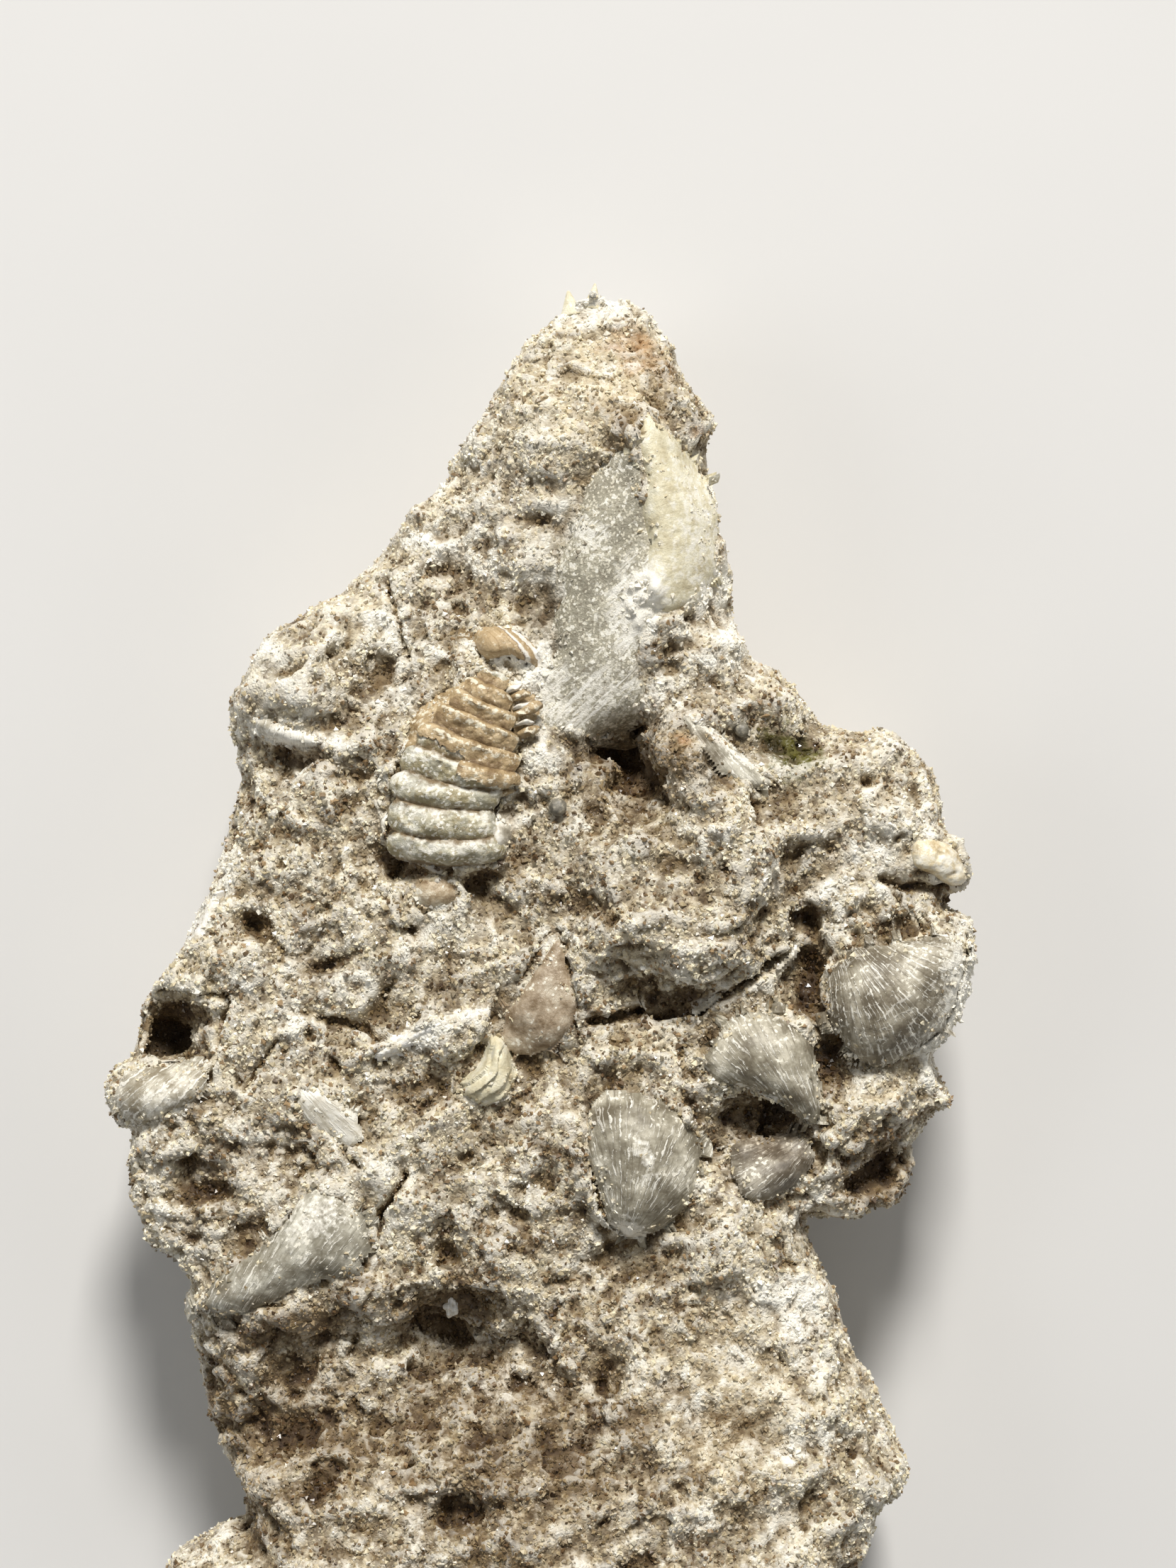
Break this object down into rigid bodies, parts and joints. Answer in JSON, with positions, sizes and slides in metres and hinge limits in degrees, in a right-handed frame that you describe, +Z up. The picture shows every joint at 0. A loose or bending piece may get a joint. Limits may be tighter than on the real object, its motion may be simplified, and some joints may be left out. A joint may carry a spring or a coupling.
{
  "type": "trilobite_fossil",
  "caption": "Trilobite fossil in a loose, pointed piece of shelly limestone: ribbed thorax, head and tail fragments among brachiopod shells, lies flat for display",
  "frame": {"origin": "on the flat resting underside, below the middle of the slab", "axes": "+Y runs from the broad foot to the narrow peak, +Z is up out of the fossil face, +X is to the viewer's right when the peak points away"},
  "size_m": [0.04, 0.0678, 0.0152],
  "materials": {
    "limestone": "rough broken limestone, cream and brown, packed with small calcite grains",
    "cuticle": "thin brown fossil cuticle with a soft sheen",
    "thorax_mould": "calcite cast of the ribs, grey-white, brown where cuticle is left",
    "grey_shell": "smooth grey calcite shell with a soft gloss",
    "pale_shell": "pale calcite shell, cream to white",
    "brown_shell": "smooth brown shell",
    "honey_calcite": "translucent honey-coloured calcite"
  },
  "bodies": {
    "root": {"limestone_matrix": "limestone", "trilobite_head": "cuticle", "trilobite_thorax": "thorax_mould", "trilobite_tail": "cuticle", "brachiopod_right": "grey_shell", "brachiopod_fan": "grey_shell", "brachiopod_fan_base": "grey_shell", "brachiopod_oval": "grey_shell", "shell_crescent": "grey_shell", "shell_fluted": "grey_shell", "shell_grey_valve": "grey_shell", "shell_pale_flake": "pale_shell", "shell_white_rim": "pale_shell", "shell_edge_plate": "pale_shell", "shell_small_fan": "pale_shell", "shell_white_shard": "pale_shell", "shell_brown_spall": "brown_shell", "calcite_crystal": "honey_calcite"}
  },
  "joints": []
}
